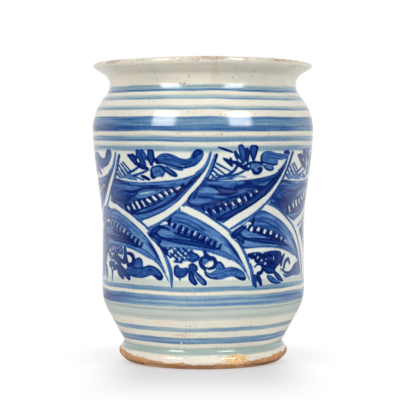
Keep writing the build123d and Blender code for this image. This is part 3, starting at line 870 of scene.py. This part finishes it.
def top_spray_b(brush):
    """The next spray: thin stalks, dark berries, three petals, a flower and a scrolled leaf."""
    brush.patch([(4.6, 148.4), (8, 152), (14, 151.6), (20, 149.6), (24, 148.6), (14, 147.4)], 0.50)
    brush.hatch([(5.4, 152.4, 10.4, 148.6), (7, 155, 13, 149.8), (8.4, 157.6, 16, 151.8), (9.8, 160, 19.4, 154.6)],
                [1.6, 1.2], 0.80)
    brush.bare([(6.6, 152.8), (10, 149.8)], [1.0, 0.7])
    brush.line([(2, 148.8), (6, 147.4), (11, 147.4)], [2.2, 1.8, 1.2], 0.90)
    brush.line([(10, 149.2), (17.4, 151.4), (22, 154.4), (24.8, 158.4)], [1.4, 2.2, 2.4, 2.2], 0.80)
    brush.thin([(18, 150.8), (25, 152), (31, 155)], [1.6, 2.0, 2.0], 0.66)
    brush.thin([(20, 150), (27, 150.2), (31.6, 149.6)], 1.0, 0.44)
    brush.line([(10.4, 172.7), (15, 171), (20.8, 168.8)], [1.2, 2.2, 1.6], 0.94)
    brush.line([(14.8, 163.8), (18, 161.6), (20.6, 158.6)], [1.8, 3.2, 2.2], 0.95)
    brush.line([(19.6, 164), (19.8, 161.6)], [1.8, 2.6], 0.94)
    brush.line([(18.6, 161.6), (24, 160.6), (29, 157.4), (33, 155.8)], [2.4, 3.0, 3.2, 3.2], 0.94)
    brush.line([(22.8, 169), (24.6, 165), (27.6, 160.8)], [2.4, 3.4, 2.0], 0.86)
    brush.line([(27, 172.4), (28.6, 167.4), (29, 161.2)], [5.0, 5.6, 3.0], 0.80)
    brush.line([(31.6, 170.8), (32, 166), (32.2, 162)], [3.0, 3.6, 2.2], 0.88)
    brush.bare([(25.4, 163.4), (27.2, 161)], [1.1, 0.8])
    brush.line([(36.8, 171.2), (36.8, 167.4), (37, 163.2)], [7.4, 6.0, 2.6], 0.90)
    brush.line([(39.8, 172.4), (39.4, 169)], [1.8, 1.4], 0.98)
    brush.line([(30.6, 158.6), (35.6, 160.8), (40.4, 160.8), (44, 160)], [2.0, 2.2, 2.0, 2.4], 0.90)
    brush.patch([(35, 160.2), (40, 160.8), (43.8, 159.4), (44.4, 156), (43.4, 152.6), (39.6, 151.6), (36.8, 153.4),
                 (34.6, 156.6)], 0.50)
    brush.line([(37, 155.4), (38.4, 153), (41.6, 152.8), (43.8, 155.6), (41.4, 156.2)], [2.0, 2.8, 3.0, 3.2, 2.2], 0.92)
    brush.line([(34.8, 159.2), (34.8, 156.6), (37.2, 155)], [1.2, 1.4, 1.4], 0.86)
    curled_leaf(
        brush,
        [(42.4, 162), (42.8, 166.4), (46, 169.4), (51.5, 169.4), (55.9, 168), (60.9, 167.6), (63.4, 167),
         (64.6, 169.8), (69.6, 170.4), (70.4, 168), (67.7, 164.4), (63.4, 162.7), (58.8, 162.4), (58.4, 159),
         (54.6, 158.4), (49.6, 159.4), (44.6, 160.8)],
        0.56,
        ([(46, 163.4), (51, 165), (57, 163.8), (63, 164.4)], [(47, 166.8), (53, 167.2), (60, 165.6), (66, 167)]),
        [(44.6, 167.6), (43.4, 164.6), (44.2, 161.2), (50, 159.8), (54.4, 158.9), (58, 159.8)],
    )
    brush.line([(64.6, 168.6), (67, 168.6), (69.6, 167.6)], [2.4, 3.2, 2.6], 0.86)
    curled_leaf(brush, [(44.9, 158.6), (47.4, 159.2), (51.5, 158.3), (54.8, 156.9), (54.6, 155.1), (50.9, 154.5), (47.6, 155.6)],
                0.50, (), [(45.2, 158.4), (48.4, 156), (51.6, 154.9), (54.4, 155.5), (54, 157.2)])


def bottom_spray_a(brush):
    """Under the falling leaf: a dark hatched bud, berries on stalks, a ring and a scrolled leaf."""
    brush.patch([(-96, 95), (-84, 95.6), (-72, 94.6), (-71, 88), (-80, 84), (-92, 85)], 0.50)
    brush.hatch([(-95, 95, -86, 86), (-90, 96, -80, 87), (-84, 95, -75, 88), (-95, 90, -86, 96), (-92, 86, -79, 95),
                 (-86, 85, -74, 94), (-80, 86, -72, 91), (-97, 92, -90, 84)], [2.2, 1.8], 0.86)
    brush.line([(-86, 86), (-80, 84), (-74, 83.4), (-69, 82.6)], [2.6, 4.8, 4.6, 3.0], 0.92)
    brush.line([(-91.4, 80), (-87, 79.4), (-83, 78)], [5.0, 8.6, 6.0], 0.88)
    brush.line([(-87, 77.4), (-87, 72), (-87.4, 66.6)], [4.4, 2.6, 1.6], 0.88)
    brush.bare([(-87.4, 77), (-86.2, 76.6)], 1.6)
    brush.bare([(-88.4, 88.4), (-86.4, 87.6)], 1.8)
    brush.bare([(-92.4, 91), (-91, 90)], 1.6)
    brush.bare([(-77, 88.2), (-72.6, 87.4)], 1.6)
    brush.bare([(-86, 94), (-85.4, 91.6)], 1.2)
    brush.bare([(-82.6, 94), (-82.2, 92)], 1.0)
    brush.line([(-79, 79.6), (-76, 74.4), (-71, 70.6)], [2.8, 5.0, 3.4], 0.88)
    brush.line([(-76.4, 81), (-70, 75.6), (-63.6, 70.6)], [2.6, 5.0, 3.8], 0.88)
    brush.line([(-68.8, 93.6), (-68, 88.7), (-70, 84)], [3.0, 4.0, 3.4], 0.88)
    brush.line([(-64.8, 90), (-60.4, 88.8), (-58.6, 85.2), (-60, 81.8), (-65, 80.6)], [2.4, 3.6, 4.0, 4.0, 3.4], 0.92)
    brush.line([(-66.8, 86.6), (-66, 83)], [2.4, 3.4], 0.86)
    brush.bare([(-64.6, 85.4), (-62.8, 86.6)], 1.7)
    curled_leaf(brush, [(-60.6, 79.2), (-57.4, 84.6), (-54, 87.2), (-50.4, 86), (-49.2, 81.6), (-50, 78.8)],
                0.66, ([(-57, 80.6), (-54.4, 84), (-51.6, 82.4)],), [(-57.8, 84), (-54, 86.6), (-50.6, 85), (-49.8, 80.6)])
    curled_leaf(
        brush,
        [(-68.6, 78), (-65, 78.9), (-60, 79.4), (-55, 79), (-49.7, 79.2), (-45.7, 80.9), (-41.7, 81.2), (-37.7, 80.1),
         (-33.7, 77.4), (-31.6, 74), (-31.6, 72), (-33.3, 70.2), (-35.9, 70.6), (-38.5, 72.7), (-41.7, 74.1),
         (-45, 73.8), (-48.3, 72), (-53.7, 71.5), (-59, 71.8), (-63, 73.1), (-65.9, 75.3)],
        0.68,
        ([(-66, 77.4), (-60, 77), (-54, 76.2), (-47, 77.4), (-41, 78.6), (-36, 76.4)],
         [(-62, 74), (-56, 73.6), (-49, 74.6), (-43, 76.2)]),
        [(-50, 79), (-44, 80.9), (-38.4, 80), (-34.2, 77), (-32, 73.2), (-34, 71)],
    )
    brush.line([(-38.4, 74), (-35.4, 72.6), (-33, 72.4)], [2.4, 3.4, 3.2], 0.92)
    brush.line([(-64, 73.4), (-57, 72.1), (-49, 72.4), (-42, 74.4)], [1.0, 1.3, 1.3, 1.0], 0.86)
    brush.bare([(-73.6, 82), (-70, 79.6), (-66.8, 77.6)], [0.9, 1.5, 0.8])


def bottom_spray_b(brush):
    """The next one: a cross-hatched bud, round berries and drops, a ring and a scrolled leaf."""
    brush.patch([(-23, 94.8), (-14, 95), (-7, 93), (-9, 87.4), (-15, 85.4), (-20, 87.6)], 0.40)
    brush.hatch([(-33, 95, -26, 89), (-30, 95.4, -20, 87), (-25, 95.6, -16.6, 87.6), (-20, 95.4, -12, 87),
                 (-15.4, 95.4, -8.6, 89), (-21, 85.6, -12.6, 94.6), (-17, 85.2, -8.6, 94), (-25.6, 88.4, -18, 95.4),
                 (-29.6, 91, -25.6, 95.4), (-22, 85.4, -16.4, 84.6)], [1.9, 1.5], 0.84)
    for round_jar, up in ((-26.6, 93), (-24.6, 94.4), (-18.6, 88.2), (-17.4, 90.6), (-13.8, 92), (-19.6, 92.6), (-14.6, 88.6)):
        brush.bare([(round_jar, up), (round_jar + 0.8, up - 0.7)], 1.2)
    brush.line([(-32.6, 94.6), (-30, 93.4), (-28.6, 90.8)], [2.0, 3.6, 2.2], 0.94)
    curled_leaf(brush, [(-9.8, 92.8), (-6, 91.6), (-2.8, 89), (-4.4, 86.4), (-8, 85), (-11.4, 86), (-10.6, 89.5)],
                0.74, (), [(-9.4, 92.4), (-6, 91.2), (-3.4, 89), (-4.8, 86.8), (-8, 85.6), (-11, 86.4)])
    curled_leaf(
        brush,
        [(-22.3, 76), (-22, 81.2), (-19.7, 82.9), (-17.5, 80.5), (-15, 80.5), (-12.3, 80.9), (-11.5, 78.7), (-13, 75.1),
         (-15.7, 73.5), (-18.3, 72.8), (-21, 73.8)], 0.76, (),
        [(-19.8, 82.4), (-21.8, 80.6), (-21.8, 76.2), (-20.4, 74.2), (-17.8, 73.4), (-14.4, 74.4), (-12.2, 77.8), (-12.4, 80.4)],
    )
    brush.line([(-17.8, 73), (-17.9, 70.8)], [1.4, 1.0], 0.86)
    curled_leaf(brush, [(-11.4, 82.7), (-8.3, 83.9), (-5, 82.2), (-4.5, 79.3), (-6.1, 76.5), (-9.7, 76.5), (-11.2, 79.3)],
                0.78, (), [(-11, 82.4), (-8.2, 83.4), (-5.4, 81.8), (-5, 79.2), (-6.6, 77.2)])
    brush.line([(-9.4, 76.6), (-8.5, 72), (-6, 69)], [4.2, 5.2, 3.8], 0.90)
    curled_leaf(brush, [(-8, 77.4), (-5.4, 77.6), (-1.6, 74), (2.6, 69.8), (2.2, 67.6), (-0.6, 67.6), (-4.6, 71.4)],
                0.58, (), [(-5, 77), (-1.4, 73.4), (2, 69.6), (1.4, 67.9), (-1.4, 68.8)])
    brush.line([(0.8, 93.2), (1.8, 91), (1.2, 88.6)], [2.2, 3.2, 2.4], 0.84)
    brush.line([(2, 91.6), (4, 90)], [1.8, 2.0], 0.84)
    brush.patch([(-0.6, 86), (2, 88.2), (5, 87.4), (4, 84), (0.6, 82.6)], 0.52)
    brush.line([(-0.6, 88.6), (-1.9, 84.7), (0.1, 80.9), (4.3, 79.5)], [2.2, 3.4, 3.2, 2.4], 0.90)
    brush.line([(2.2, 88.6), (7.4, 88), (9.5, 84.7), (8.3, 81.3), (4.8, 79.9)], [2.2, 3.2, 3.2, 3.0, 2.2], 0.90)
    brush.line([(3.8, 86.6), (6.4, 86.2)], 1.2, 0.80)
    brush.bare([(2.2, 82.9), (5, 84.8)], [1.5, 2.0])
    curled_leaf(brush, [(8.8, 79.8), (10.1, 84.2), (12.4, 85.3), (14.6, 83.6), (17, 79.6)], 0.60, (),
                [(10.4, 83.8), (12.6, 84.8), (14.8, 82.8), (16.8, 79.8)])
    curled_leaf(
        brush,
        [(0.8, 78.9), (5, 76.9), (9, 78.9), (13, 79.9), (17, 80.5), (21, 81.2), (25, 80.5), (29, 78.9), (32.4, 76),
         (33.9, 72.7), (33.2, 70.5), (31, 70.1), (28.3, 71.1), (25, 73.1), (21.7, 73.8), (18.3, 73.1), (14.3, 71.8),
         (10.3, 71.5), (5.7, 72.5), (2.1, 74.9)],
        0.56,
        ([(3, 76.6), (9, 76), (15, 77), (21, 78.6), (27, 78.2), (31, 75)], [(8, 73.4), (14, 73.8), (20, 75.8), (26, 75.4)]),
        [(1.2, 78.8), (2.2, 75.6), (5.6, 73.2), (11, 72.2)],
    )
    brush.line([(24.6, 74), (29, 72.2), (32.6, 72)], [1.4, 2.8, 3.0], 0.92)
    brush.line([(21, 80.8), (27, 79.6), (31.6, 76.4), (33.2, 73)], 1.1, 0.84)
    brush.bare([(2.6, 79.4), (5.4, 77.5)], [0.9, 1.4])


def bottom_spray_c(brush):
    """The third: a dark cluster of berries with bare dots, a round petal and pointed leaves."""
    brush.patch([(36, 91), (42, 92), (50, 91.4), (58, 92.4), (68, 91), (69, 84), (62, 79), (52, 79.4), (46, 83), (40, 85.6),
                 (36.4, 88)], 0.84)
    for dot in ((36.6, 89.6), (40, 88.4), (42.6, 85.6), (46.4, 89.6), (51, 88.4), (55, 89.6), (56.6, 84)):
        brush.line([dot, (dot[0] + 1.8, dot[1] - 1.2)], 3.4, 0.96)
    brush.teeth(
        [(39, 85.2, 2.4, 1.0, 2.4), (44.4, 87.6, 1.2, 1.2, 1.4), (47.7, 85.3, 1.0, 1.0, 1.5), (51.3, 82.7, 1.0, 0.8, 1.5),
         (52.4, 86, 1.2, 1.0, 1.0), (42, 90.2, 1.4, 0.8, 1.0), (48.6, 90.8, 1.4, 0.4, 1.0), (60, 86.6, 0.6, 3.4, 1.1),
         (64.6, 83.4, 0.8, 2.4, 0.9)], 0,
    )
    brush.line([(50, 79.6), (55, 77.4), (59.4, 77)], [4.6, 6.6, 5.0], 0.97)
    brush.line([(55, 84), (56, 79)], [3.6, 4.6], 0.94)
    brush.line([(41.4, 80.4), (44.4, 82.4), (48.4, 80.6), (48, 76.6), (44.6, 75)], [1.4, 1.6, 2.0, 3.0, 3.6], 0.93)
    brush.bare([(43.6, 80), (46, 80.6), (46.6, 78.6)], [1.2, 1.8, 1.0])
    brush.line([(61.8, 80.6), (62.6, 85), (63.6, 89)], [4.6, 5.0, 3.6], 0.93)
    brush.line([(68.4, 80.6), (69.4, 85), (72.4, 88.6)], [2.6, 3.4, 2.0], 0.90)
    brush.line([(71.8, 78), (74, 83), (78, 84.6), (80, 81)], [2.4, 3.0, 3.0, 2.0], 0.84)
    brush.line([(41, 73), (41.6, 68), (42.4, 65)], [4.0, 3.8, 2.4], 0.80)
    brush.line([(44.4, 73), (46, 69.6), (47.2, 66.2)], [3.6, 4.2, 2.6], 0.93)
    curled_leaf(brush, [(52.6, 73.8), (57, 73.2), (63, 69.8), (68.6, 66.8), (66, 66), (59, 67), (54, 70)], 0.60, (),
                [(53, 73), (56.6, 68.8), (62, 67), (67.6, 66.6)])
    brush.line([(60, 76), (65, 71.6), (70, 68.2)], [2.4, 4.6, 2.0], 0.86)
    curled_leaf(brush, [(67, 77), (70, 74), (76, 72.6), (82, 73.4), (88, 79), (95, 82), (99, 78), (101, 72), (96, 70.6), (90, 71),
                        (84, 71.2), (74, 70.4)], 0.66, ([(72, 74), (80, 72.8), (88, 76), (96, 77)],),
                [(68, 77.6), (74, 74.6), (81, 74.6), (88, 79.4), (95, 81.4)])


coat_round = np.arctan2(coat_points[:, 0], -coat_points[:, 1]) * painting_radius
brush = Brush(coat_round, coat_points[:, 2] / MM)
# Seven leaves go round the jar. Each row is a leaf or spray, how far round it is painted, and
# how unsteady that repeat is.
upper_row = [
    (upper_leaf_a, top_spray_a, -78, 0.8), (upper_leaf_a, top_spray_a, 0, 0), (upper_leaf_b, top_spray_b, 0, 0),
    (upper_leaf_a, top_spray_a, 141, 0.7), (upper_leaf_b, top_spray_b, 149, 1.1), (upper_leaf_a, top_spray_a, 289, 1.3),
    (upper_leaf_b, top_spray_b, 297, 0.9),
]
lower_row = [(-64, 0.5, 0.50), (0, 0, 0.55), (66, 0.4, 0.58), (143, 1.0, 0.55), (220, 1.2, 0.60), (297, 0.8, 0.55), (374, 1.1, 0.52)]
bottom_row = [
    (bottom_spray_a, 0, 0), (bottom_spray_b, 0, 0), (bottom_spray_c, 0, 0), (bottom_spray_b, 143, 1.0),
    (bottom_spray_a, 284, 1.2), (bottom_spray_b, 297, 0.8), (bottom_spray_a, 438, 1.0),
]
for leaf, spray, brush.shift, brush.slip in upper_row:
    leaf(brush)
brush.shift, brush.slip = 0, 0
brush.patch([(-112, 110), (-110, 120), (-103, 124.4), (-96, 125.6), (-90, 125), (-84, 122), (-80, 116), (-90, 108),
             (-104, 106)], 0.6)
for number, (brush.shift, brush.slip, base) in enumerate(lower_row):
    if number == 2:
        lower_leaf(brush, lower_c_dark, lower_c_bare, base)
    else:
        lower_leaf(brush, lower_b_dark, lower_b_bare, base)
for leaf, spray, brush.shift, brush.slip in upper_row:
    spray(brush)
for spray, brush.shift, brush.slip in bottom_row:
    spray(brush)
brush.shift, brush.slip = 0, 0
brush.patch([(-114, 106), (-106, 106), (-99, 103), (-94, 98), (-96, 90), (-99, 82), (-104, 78), (-112, 80), (-116, 94)], 0.62)
brush.hatch([(-108, 104, -99, 96), (-112, 100, -100, 89), (-112, 92, -102, 82), (-104, 84, -97, 91), (-110, 86, -104, 78)],
            [2.6, 2.0], 0.88)
brush.line([(-101, 78), (-98, 74), (-97, 69)], [3.4, 3.6, 2.0], 0.88)
brush.patch([(-124, 92), (-112, 92), (-106, 86), (-104, 78), (-107, 71), (-114, 67), (-124, 69)], 0.6)
brush.hatch([(-119, 90, -111, 80), (-112, 78, -106, 70), (-118, 78, -113, 69)], [3.0, 2.4], 0.88)
for name in ("wash", "tone", "stroke", "depth", "along", "across"):
    values = getattr(brush, name).astype(np.float32)
    coat.data.attributes.new(name, "FLOAT", "POINT").data.foreach_set("value", values)

painted_glaze = bpy.data.materials.new("painted_tin_glaze")
painted = Finish(painted_glaze)
x, y, z = painted.position()
around = x.math("ARCTAN2", 0 - y) * painting_radius
drag = painted.noise((60, 60, 1.6), detail=4, roughness=0.65, seed=13)
hair = painted.noise((34, 34, 0.7), detail=3, roughness=0.6, seed=14)
waver = painted.noise((45, 45, 60), detail=2, seed=15)
load = painted.noise((60, 60, 9), detail=3, seed=19)
fray = (painted.noise((1.5, 1.5, 1.5), detail=2, seed=21) - 0.5) * 0.7
mottle = painted.noise((2.4, 2.4, 2.4), detail=4, roughness=0.6, seed=23)
line = z + (waver - 0.5) * 3.0 + (drag - 0.5) * 1.0 + fray * 0.4
# Painted shade and light on the stripes: the first mask makes them darker toward the jar's left side as seen from the
# front, the second lighter across its middle front.
painted_shade_left = around.past(-20, -110)
middle = around.between(-45, 45, 30)


def stripe(low, high, strength, soft=0.5):
    """A stripe laid on the turning jar, from low to high in millimetres, that strong."""
    return line.between(low, high, soft) * strength


blue = stripe(215.4, 219.8, 0.24, 0.8)
blue += stripe(214.8, 216.4, 0.30, 0.5)
blue += stripe(209.0, 211.8, 0.20, 0.8)
blue += stripe(208.8, 209.8, 0.16, 0.4)
blue += stripe(201.3, 203.8, 0.20, 0.8)
blue += stripe(201.0, 202.0, 0.16, 0.4)
# Painted shade: this stripe is drawn darker toward the jar's left side.
blue += stripe(184.8, 195.8, 0.36, 0.6) * (0.92 + painted_shade_left * 0.35)
blue += stripe(184.4, 189.0, 0.18, 1.6)
blue += stripe(193.8, 196.0, 0.12, 0.6)
blue += stripe(177.0, 181.0, 0.29, 0.7)
blue += stripe(177.0, 178.2, 0.10, 0.5)
blue += stripe(169.4, 173.4, 0.28, 0.9)
blue += stripe(62.3, 66.2, 0.33, 0.8)
# Painted shade and light: this stripe is drawn darker toward the left side and lighter in the middle front.
blue += stripe(50.6, 59.6, 0.31, 0.9) * (1.0 + painted_shade_left * 0.6 - middle * 0.2)
blue += stripe(44.6, 47.2, 0.12, 1.0) + stripe(39.6, 41.2, 0.10, 0.8)
blue += stripe(55.6, 57.6, 0.16, 0.7)
blue += stripe(51.6, 53.4, 0.14, 0.7)
blue += stripe(30.2, 33.6, 0.30, 0.7)
blue += stripe(20.3, 25.3, 0.32, 0.7)
blue += stripe(20.2, 21.8, 0.12, 0.5)
grey_green = stripe(40.0, 48.8, 0.7, 1.4) + stripe(11.2, 16.8, 0.9, 0.9) + stripe(208.8, 212.4, 0.7, 0.9)
grey_green += stripe(200.8, 204.4, 0.5, 0.9) + stripe(176.6, 181.6, 0.7, 0.9) + stripe(168.8, 174.6, 0.5, 1.2)
grey_green += stripe(66.0, 71.0, 0.45, 1.2) + stripe(48.0, 52.0, 0.6, 1.2)
scratch = painted.noise((1.1, 1.1, 12), detail=3, roughness=0.6, seed=25)
# Painted light: all stripes are drawn a little lighter across the middle front of the jar.
stripes = (blue * (1 - middle * 0.1) * (drag * 1.3 + hair * 1.5 + scratch * 0.5 - 0.65) * (0.6 + load * 0.8)).larger(0.0)


def brushed(name):
    """What the brush left at each place."""
    return painted.node("ShaderNodeAttribute", {"attribute_name": name}, output=2)


bristles = painted.node("ShaderNodeCombineXYZ", {}, [brushed("along") / 16, brushed("across") / 0.9, 0.0])
streaks = painted.node("ShaderNodeTexNoise", {}, {"Vector": bristles, "Scale": 1.0, "Detail": 3.0, "Roughness": 0.6})
streaks = streaks - 0.5
wash_in = brushed("wash") + fray
wash_tone = brushed("tone") * (0.80 + mottle * 0.26) + streaks * 1.15 + 0.20 * (1 - wash_in.past(0.35, 1.2))
wash = wash_in.past(-0.35, 0.35) * wash_tone
stroke_in = brushed("stroke") + fray * 0.6
stroke_depth = brushed("depth") * (0.93 + mottle * 0.14) + streaks * 0.35 - 0.22 * stroke_in.past(1.0, 2.3)
stroke = stroke_in.past(-0.3, 0.3) * stroke_depth
bleed = wash_in.larger(stroke_in).past(-1.3, -0.1) * (0.04 + mottle * 0.16)
drawn = wash.larger(stroke).larger(bleed)
pigment = stripes.larger(drawn)
cobalt = [
    (0.0, colour(226, 222, 208)),
    (0.10, colour(190, 202, 202)),
    (0.2, colour(150, 176, 194)),
    (0.3, colour(110, 147, 184)),
    (0.4, colour(84, 126, 176)),
    (0.5, colour(62, 105, 164)),
    (0.6, colour(42, 84, 148)),
    (0.7, colour(24, 62, 130)),
    (0.8, colour(10, 44, 112)),
    (0.9, colour(3, 28, 95)),
    (1.0, colour(0, 14, 76)),
]
cool = z.between(66, 176, 5) * 0.55 + z.between(196, 212, 5) * 0.25
ground = painted.blend(cool, glaze_ground(painted), colour(223, 229, 224))
ground = painted.blend((grey_green * (0.35 + drag * 0.5 + hair * 0.8)).smaller(1.0), ground, colour(146, 166, 162))
paint = painted.blend(pigment.past(0.0, 0.12), ground, painted.ramp(pigment, cobalt))
on_stripe = (1 - drawn.past(0.05, 0.2)) * stripes.past(0.02, 0.12)
paint = painted.blend(on_stripe * 0.7, paint, colour(246, 242, 226), "MULTIPLY")

# Wear on the outer coat: the bare clay below the ragged line over the foot, rubbed and chipped
# places on the lip, a brown drip under it, and the chips above the foot.


def spot(place, up, half_width, half_height):
    """A ragged round spot at a place round the jar and a height, in millimetres."""
    across, above = (around - place) / half_width, (z - up) / half_height
    return 1 - (across * across + above * above + (mottle - 0.5) * 2.4).past(0.6, 1.0)


edge_noise = painted.noise((9, 9, 9), detail=4, roughness=0.6, seed=33)
foot_clay = 1 - (z - 4.2 - (edge_noise - 0.5) * 7 - x * x / 820 - fray * 0.8).past(-0.3, 0.3)
speckle = painted.noise((1.4, 1.4, 1.4), detail=4, roughness=0.7, seed=35)
clay_paint = painted.ramp(
    edge_noise * 0.5 + speckle * 0.5,
    [(0.32, colour(136, 88, 56)), (0.5, colour(190, 138, 92)), (0.66, colour(222, 182, 136))],
)
paint = painted.blend(foot_clay, paint, clay_paint)
lip_rub = (edge_noise + speckle * 0.2).past(0.57, 0.72) * z.past(236.6, 239.4)
lip_rub = lip_rub.larger(spot(5, 240, 13, 1.6)).larger(spot(-76, 238, 9, 1.2)).larger(spot(62, 239, 12, 1.2))
paint = painted.blend(lip_rub * speckle.past(0.34, 0.58) * 0.8, paint, colour(168, 122, 88))
lip_edge = z.past(237.8, 239.6) * speckle.past(0.44, 0.60)
paint = painted.blend(lip_edge * 0.45, paint, colour(172, 146, 122))
drip = spot(9, 229, 3.2, 11) * 0.22
paint = painted.blend(drip, paint, colour(216, 176, 120))
ochre = spot(32, 7.4, 14, 4.6)
paint = painted.blend(ochre, paint, painted.blend(speckle.past(0.45, 0.6), colour(240, 208, 152), colour(206, 152, 92)))
chip = spot(-19, 27.2, 9.5, 1.5).larger(spot(-20.5, 20.8, 1.1, 1.2) * 0.9)
paint = painted.blend(chip * 0.8, paint, painted.blend(speckle.past(0.5, 0.62), colour(226, 206, 190), colour(96, 78, 66)))
nicks = edge_noise.past(0.58, 0.64) * speckle.past(0.60, 0.66) * (z.past(236, 238) + 1 - z.past(10, 16))
paint = painted.blend(nicks.smaller(1.0) * 0.8, paint, colour(78, 58, 44))
glazed(painted, paint, drag + mottle * 0.3 - foot_clay * 1.5 - chip, foot_clay.larger(lip_rub * 0.5).larger(chip * 0.5))
place_points(coat, hand(coat_points))
finish_piece(coat, "outer_tin_glaze", painted_glaze)
